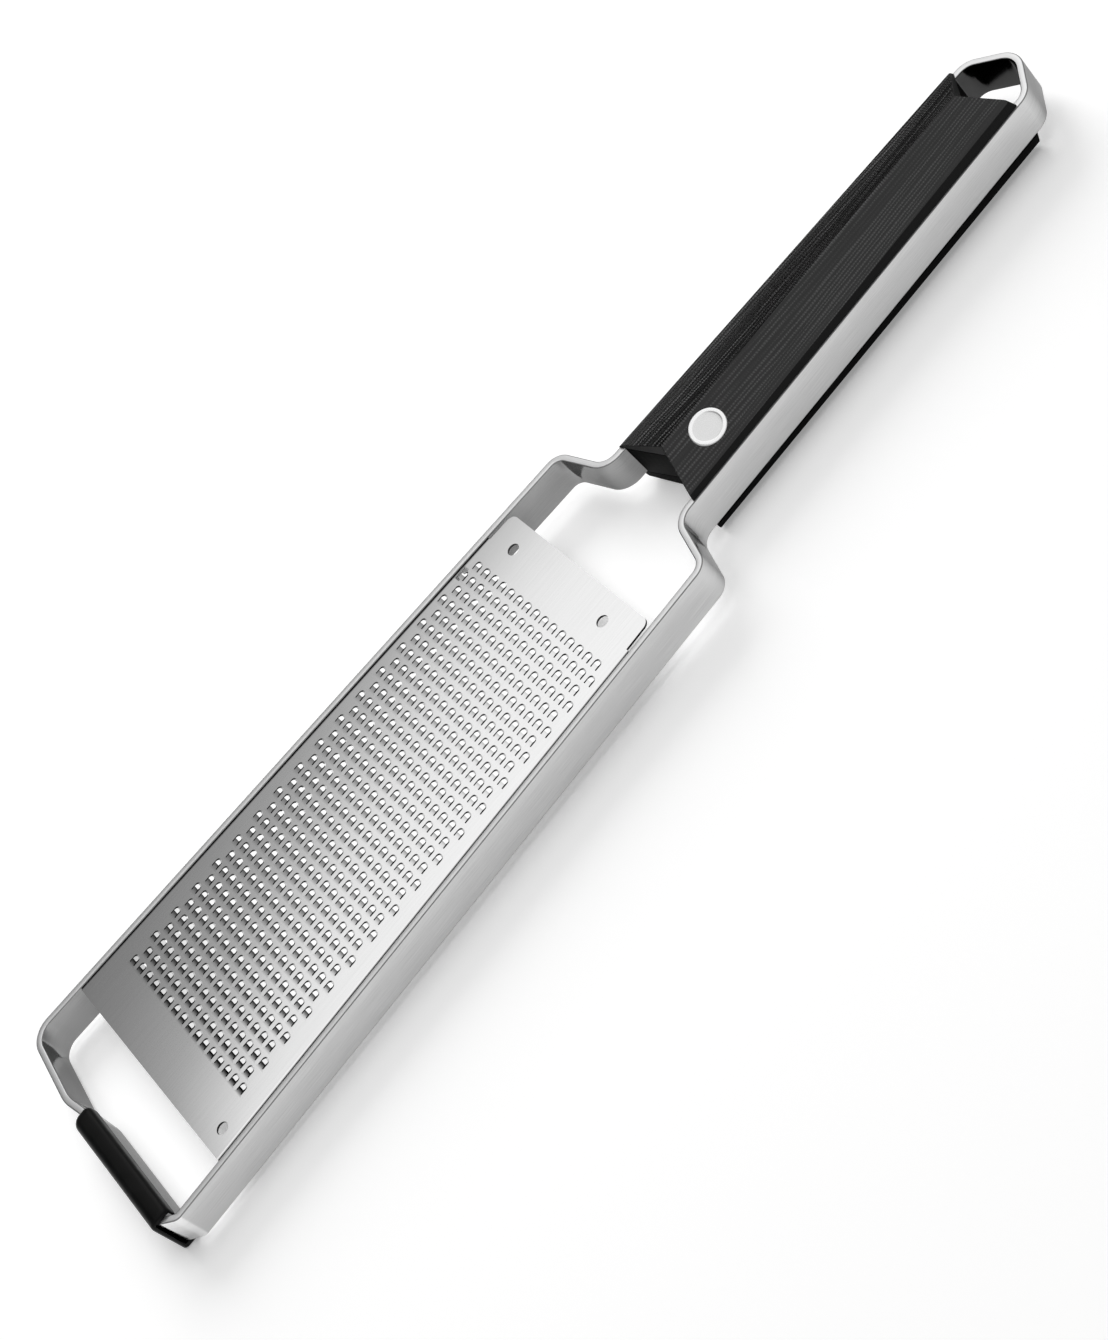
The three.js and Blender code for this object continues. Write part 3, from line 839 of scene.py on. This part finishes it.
def laminate(name, specular):
    """Black resin and canvas: level layers that the facets cut into lines, each a row of pale threads."""
    material, tree, shader = new_material(name)
    spot = object_place(tree)
    across = node(tree, "ShaderNodeSeparateXYZ", Vector=spot).outputs
    level = along_axis(tree, spot, (-layer_climb, 0, 1))
    place = node(tree, "ShaderNodeCombineXYZ", X=across["X"], Y=across["Y"], Z=level).outputs["Vector"]
    layers = textured(
        tree, "ShaderNodeTexWave", place, (25, 120, 1050), bands_direction="Z", Distortion=6.0)
    threads = textured(
        tree, "ShaderNodeTexWave", place, (480, 700, 1600), bands_direction="X", Distortion=4.0)
    wear = textured(tree, "ShaderNodeTexNoise", place, (22, 60, 2200), Detail=2.0)
    ground = attribute(tree, "ground")
    weave = mixed(tree, "MULTIPLY", 1.0, layers, ramp(tree, [(0.1, 0.55), (0.9, 1.0)], threads))
    weave = mixed(tree, "MULTIPLY", 1.0, weave, ramp(tree, [(0.36, 0.35), (0.58, 1.0)], wear))
    tone = ramp(tree, [(0.08, 0.0007), (0.40, 0.010), (0.85, 0.054)], weave)
    # Painted shade: the sides and notched ends are darkened.
    laminate_side_shade = ramp(tree, [(0, 1.0), (1, 0.1)], ground)
    gloss = ramp(tree, [(0.2, 0.20), (0.8, 0.27)], weave)
    sanded_gloss = ramp(tree, [(0, 0.0), (1, 0.8)], ground)
    set_up(
        tree, shader,
        Base_Color=mixed(tree, "MULTIPLY", 1.0, tone, laminate_side_shade),
        Roughness=maths(tree, "MAXIMUM", gloss, sanded_gloss),
        Specular_IOR_Level=specular,
        Normal=relief(tree, weave, 0.3, 0.03 * mm),
    )
    return material


satin_laminate = laminate("satin_laminate", 0.34)
matt_laminate = laminate("matt_laminate", 0.06)


def upper_section(corner, edge, ridge):
    half = rail_half(corner)
    return [
        (0, strip_height + fit),
        (half, strip_height + fit),
        (half - upper_inset, strip_height + edge),
        (0, strip_height + ridge),
    ]


upper_ends = [upper_section(*sizes) for sizes in zip(handle_ends, upper_edge, upper_ridge)]
upper_scale = handle_mesh("upper_scale", upper_ends, scale_round)
show("upper_scale", upper_scale, satin_laminate, "upper_handle_scale", sharp_angle=6)


def lower_section(corner, edge, land):
    half = rail_half(corner)
    return [(0, -fit), (half, -fit), (half - lower_inset, -edge), (land, rest_z), (0, rest_z)]


lower_ends = [lower_section(*sizes) for sizes in zip(handle_ends, lower_edge, lower_land)]
lower_scale = handle_mesh("lower_scale", lower_ends, scale_round)
show("lower_scale", lower_scale, matt_laminate, "lower_handle_scale", sharp_angle=6)


def core_section(corner):
    half = rail_half(corner) - strip_thickness - fit
    return [(0, 0), (half, 0), (half, strip_height), (0, strip_height)]


core = handle_mesh("core", [core_section(corner) for corner in handle_ends], core_round)
show("laminate_core", core, matt_laminate, "handle_core", sharp_angle=20)

# Medallion: a turned steel disc pressed into a pocket in the right facet, its face plain.
# The two dowel pins inside the handle are plain ground steel.
medallion_radius = 4.75 * mm
medallion_x = scale_start + 15.2 * mm
medallion_y = -6.2 * mm
medallion_sides = 64
face_height = 0.24 * mm
rim_height = 0.35 * mm
pocket_depth = 0.85 * mm
medallion_profile = [
    (0, face_height),
    (2.2 * mm, face_height),
    (3.5 * mm, face_height),
    (3.7 * mm, 0.30 * mm),
    (3.9 * mm, rim_height),
    (4.4 * mm, rim_height),
    (4.62 * mm, 0.29 * mm),
    (medallion_radius, 0.12 * mm),
    (medallion_radius, -pocket_depth),
    (0, -pocket_depth),
]


def polished_steel():
    """Polished steel with turning rings about the disc's middle; the sunk face is duller than the rim."""
    material, tree, shader = new_material("polished_steel")
    turned = attribute(tree, "turned")
    rings = node(tree, "ShaderNodeTexNoise", noise_dimensions="1D", W=turned, Scale=40.0, Detail=2.0)
    set_up(
        tree, shader,
        Metallic=1,
        Base_Color=ramp(tree, [(0.73, 0.64), (0.80, 0.80)], turned),
        Roughness=ramp(tree, [(0.3, 0.16), (0.7, 0.28)], rings.outputs["Fac"]),
    )
    return material


def medallion_mesh():
    """Disc with a rounded rim and a slightly sunk face, lathed about Z."""
    work = bmesh.new()
    rings = []
    for radius, z in medallion_profile:
        points = circle((0, 0), radius, medallion_sides) if radius else [(0, 0)]
        rings.append([work.verts.new((x, y, z)) for x, y in points])
    for low, high in zip(rings[1:-1], rings[2:-1]):
        bridge(work, high, low)
    for pole, ring in ((rings[0], rings[1]), (rings[-1], rings[-2])):
        for i in range(medallion_sides):
            work.faces.new((pole[0], ring[i], ring[(i + 1) % medallion_sides]))
    bmesh.ops.recalc_face_normals(work, faces=work.faces)
    mesh = finished(work, "medallion_disc")
    turned = mesh.attributes.new("turned", "FLOAT", "POINT")
    turned.data.foreach_set("value", [v.co.xy.length / medallion_radius for v in mesh.vertices])
    return mesh


ridge_there = between(medallion_x, *handle_ends, *upper_ridge)
edge_there = between(medallion_x, *handle_ends, *upper_edge)
fall = (ridge_there - edge_there) / (rail_half(medallion_x) - upper_inset)
climb = (upper_ridge[1] - upper_ridge[0]) / (scale_end - scale_start)
facet_normal = Vector((-climb, -fall, 1)).normalized()
facet_turn = Vector((0, 0, 1)).rotation_difference(facet_normal).to_matrix().to_4x4()
medallion_z = strip_height + ridge_there + fall * medallion_y
disc = medallion_mesh()
disc.transform(Matrix.Translation((medallion_x, medallion_y, medallion_z)) @ facet_turn)
show("plain_medallion", disc, polished_steel(), "medallion", sharp_angle=30)
for pin in ("handle_pin_front", "handle_pin_rear"):
    pin_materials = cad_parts[pin].data.materials
    pin_materials.clear()
    pin_materials.append(strip_steel)

# Table and studio: a white table in a studio with grey walls and a dark end behind the table. The steel
# mirrors a wide diffuser overhead and a small one beyond the handle, a low lamp behind throws the shadow
# forward, and a fill hangs above.
table_half = 6.0
table_white = (0.85, 0.85, 0.85, 1)
table_lift = 0.30


def seen_or_mirrored(tree):
    """1 for what the camera sees directly, in the steel or through glass, 0 for the light on a surface."""
    path = node(tree, "ShaderNodeLightPath").outputs
    indirect = maths(tree, "MAXIMUM", path["Is Glossy Ray"], path["Is Transmission Ray"])
    return maths(tree, "MAXIMUM", path["Is Camera Ray"], indirect)


def matt_white():
    """Matt white that stays white to the camera and in the steel, and keeps the shadow."""
    material, tree, shader = new_material("white_table")
    set_up(
        tree, shader,
        Base_Color=table_white,
        Roughness=0.9,
        Specular_IOR_Level=0.0,
        Emission_Color=(1, 1, 1, 1),
        Emission_Strength=maths(tree, "MULTIPLY", seen_or_mirrored(tree), table_lift),
    )
    return material


table_mesh = bpy.data.meshes.new("table")
table_mesh.from_pydata(
    [(x * table_half, y * table_half, 0) for x, y in ((-1, -1), (1, -1), (1, 1), (-1, 1))],
    [],
    [(0, 1, 2, 3)],
)
table_mesh.materials.append(matt_white())
table = placed("table", table_mesh)


def direction(azimuth, elevation):
    """Unit vector: azimuth from +Y towards +X, elevation above the table, in degrees."""
    a = math.radians(azimuth)
    e = math.radians(elevation)
    return Vector((math.sin(a) * math.cos(e), math.cos(a) * math.cos(e), math.sin(e)))


# Each light of the studio has a middle, by azimuth and elevation, and its brightness by the angle from it.
high_diffuser_middle = (14, 75)
high_diffuser = [
    (31.9, 1.14),
    (33.6, 1.03),
    (34.5, 0.67),
    (35.1, 0.46),
    (36.5, 0.29),
    (38, 0.19),
    (42, 0.11),
    (52, 0.04),
    (80, 0.02),
]
side_diffuser_middle = (32, 36)
side_diffuser = [(15, 1.35), (19, 0)]
dark_end_middle = (0, 24)
grey_walls = [(36, 0), (52, 0.35), (100, 0.5), (180, 0.6)]
flag_edge = (-0.25, -0.18)


def studio_sky():
    """Two round diffusers with a black flag, and the grey walls that only the camera and the steel see."""
    world = bpy.data.worlds.new("studio")
    bpy.context.scene.world = world
    world.use_nodes = True
    tree = world.node_tree
    ray = node(tree, "ShaderNodeTexCoord").outputs["Generated"]

    def bright_by_angle(middle, profile):
        angle = maths(tree, "ARCCOSINE", along_axis(tree, ray, direction(*middle)))
        stops = [(degrees / 180, light) for degrees, light in profile]
        return ramp(tree, stops, maths(tree, "DIVIDE", angle, math.pi))

    overhead = bright_by_angle(high_diffuser_middle, high_diffuser)
    beyond = bright_by_angle(side_diffuser_middle, side_diffuser)
    ray_x = node(tree, "ShaderNodeSeparateXYZ", Vector=ray).outputs["X"]
    flag = graded(tree, ray_x, *flag_edge, 0, 1)
    lit = maths(tree, "MULTIPLY", maths(tree, "MAXIMUM", overhead, beyond), flag)
    walls = maths(tree, "MULTIPLY", bright_by_angle(dark_end_middle, grey_walls), seen_or_mirrored(tree))
    set_up(tree, tree.nodes["Background"], Color=maths(tree, "MAXIMUM", lit, walls), Strength=1.0)


studio_sky()


def soft_light(name, azimuth, elevation, distance, size, power):
    """Round lamp that lights the table and the pieces but isn't mirrored in the steel."""
    lamp = bpy.data.lights.new(name, "AREA")
    lamp.shape = "DISK"
    lamp.size = size
    lamp.energy = power
    holder = placed(name, lamp)
    holder.location = direction(azimuth, elevation) * distance
    holder.rotation_euler = holder.location.to_track_quat("Z", "Y").to_euler()
    holder.visible_glossy = False


soft_light("low_back_lamp", azimuth=8, elevation=30, distance=1.6, size=1.3, power=17)
soft_light("fill_from_above", azimuth=0, elevation=88, distance=1.5, size=1.5, power=6.5)

# Camera: a long lens over the grater's right side, rolled so that the handle points up to the right.
# Its place and turn were solved from the tooth rows and the strip's edges in the photograph.
photo_height = 1340
focal_pixels = 3091.4
sensor_height = 24
camera_place = Vector((-20.76, -516.27, 486.03)) * mm
camera_azimuth = 0.976
camera_fall = 43.397
camera_roll = -48.414
lens = bpy.data.cameras.new("camera")
lens.sensor_fit = "VERTICAL"
lens.sensor_height = sensor_height
lens.lens = sensor_height * focal_pixels / photo_height
lens.clip_start = 0.01
camera = placed("camera", lens)
camera.location = camera_place
unrolled = (-direction(camera_azimuth, -camera_fall)).to_track_quat("Z", "Y")
camera.rotation_euler = (unrolled @ Quaternion((0, 0, 1), math.radians(camera_roll))).to_euler()
bpy.context.scene.camera = camera
bpy.context.scene.view_settings.view_transform = "Standard"
